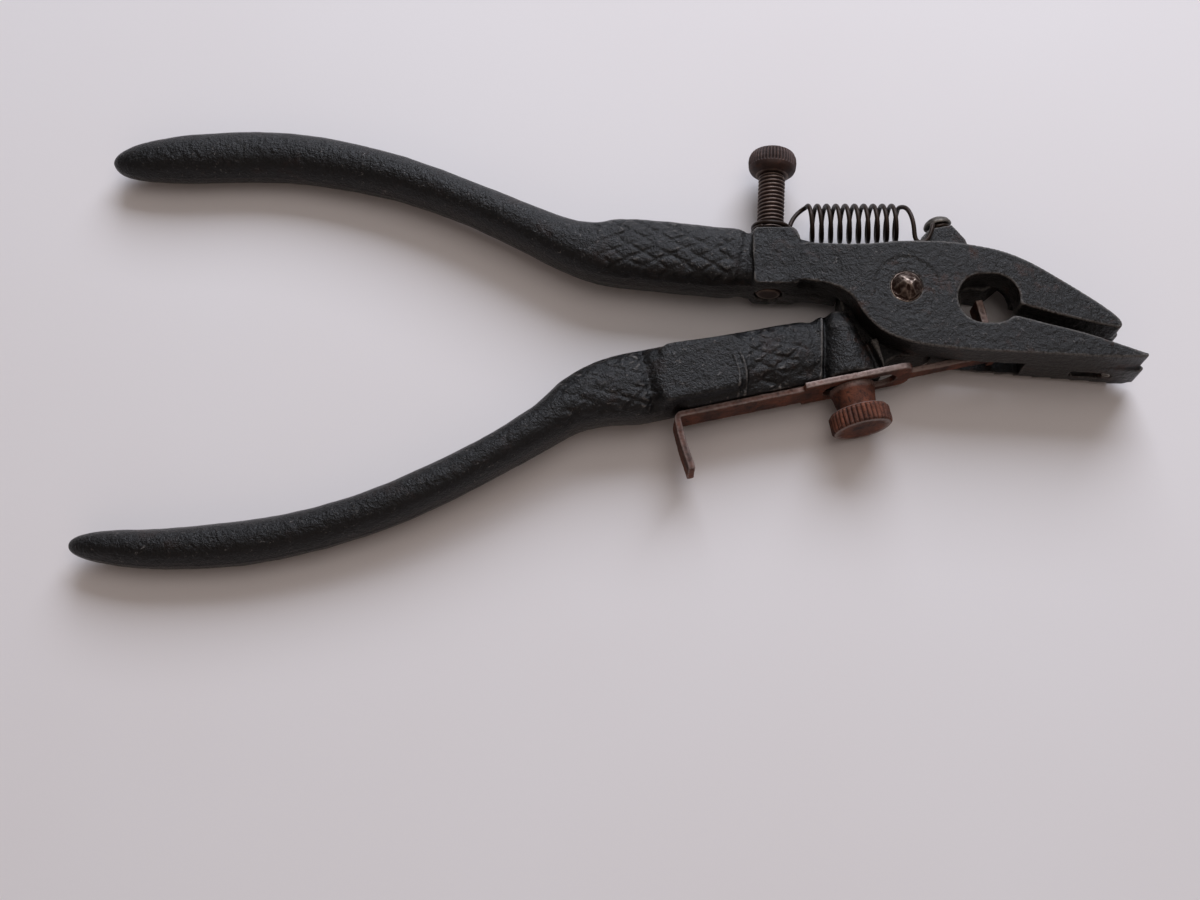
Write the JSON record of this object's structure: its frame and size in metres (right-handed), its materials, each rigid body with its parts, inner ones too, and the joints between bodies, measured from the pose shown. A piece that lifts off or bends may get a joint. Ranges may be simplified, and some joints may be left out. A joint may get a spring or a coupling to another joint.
{
  "type": "saw set pliers",
  "caption": "Plier-type saw set: riveted cast levers, setting punch behind a guide jaw, stop screw, return spring and sliding depth gauge.",
  "frame": {"origin": "on the pivot axis, in the flat back plane of the head where the rivet's tail is flush", "axes": "+X from the pivot to the jaws, +Y to the frame lever's side, +Z out of the front of the head"},
  "size_m": [0.1993, 0.0879, 0.0166],
  "materials": {
    "japanned_iron": "black japanned casting, worn",
    "tool_steel": "ground and darkened",
    "rivet_steel": "hammered",
    "rusted_steel": "knurled and rusted brown",
    "dark_steel": "blackened",
    "spring_wire": "drawn and dark",
    "rusted_strip": "rusted orange brown"
  },
  "bodies": {
    "frame": {"frame_lever": "japanned_iron", "anvil_plate": "tool_steel", "anvil_rivets": "tool_steel", "pivot_rivet": "rivet_steel", "return_spring": "spring_wire"},
    "setting": {"setting_lever": "japanned_iron", "setting_punch": "tool_steel", "punch_pin": "tool_steel", "spring_screw": "dark_steel"},
    "gauge": {"gauge_plate": "rusted_strip"},
    "clamp_collar": {"gauge_collar": "rusted_strip"},
    "clamp_screw": {"gauge_screw": "rusted_steel", "gauge_knob": "rusted_strip"},
    "stop_stem": {"stop_screw": "rusted_steel"},
    "stop_knob": {"stop_knob": "rusted_steel"}
  },
  "joints": [
    {"name": "lever_pivot", "type": "hinge", "parent": "frame", "child": "setting", "pos_m": [0, 0, 0.0045], "axis": [0, 0, 1], "range_deg": [-4, 0], "stiffness_Nm_per_rad": 0.13, "springref_deg": 34.38, "deforming": ["return_spring"]},
    {"name": "gauge_slide", "type": "slide", "parent": "setting", "child": "gauge", "axis": [0.9781, 0.2079, 0], "range_m": [-0.002, 0.002]},
    {"name": "clamp_travel", "type": "slide", "parent": "setting", "child": "clamp_collar", "axis": [0.2079, -0.9781, 0], "range_m": [0, 0.0016]},
    {"name": "clamp_turn", "type": "hinge", "parent": "clamp_collar", "child": "clamp_screw", "pos_m": [-0.01015, -0.01596, 0.007], "axis": [0.2079, -0.9781, 0], "range_deg": [-2, 722]},
    {"name": "stop_travel", "type": "slide", "parent": "frame", "child": "stop_stem", "axis": [0.061, 0.9981, 0], "range_m": [-0.0048, 0.0048]},
    {"name": "stop_turn", "type": "hinge", "parent": "stop_stem", "child": "stop_knob", "pos_m": [-0.0243, 0.0138, 0.0072], "axis": [0.061, 0.9981, 0], "range_deg": [-2164, 2164]}
  ],
  "couplings": [
    {"joint": "clamp_turn", "follows": "clamp_travel", "rad_per_m": 7854},
    {"joint": "stop_turn", "follows": "stop_travel", "rad_per_m": 7854}
  ]
}
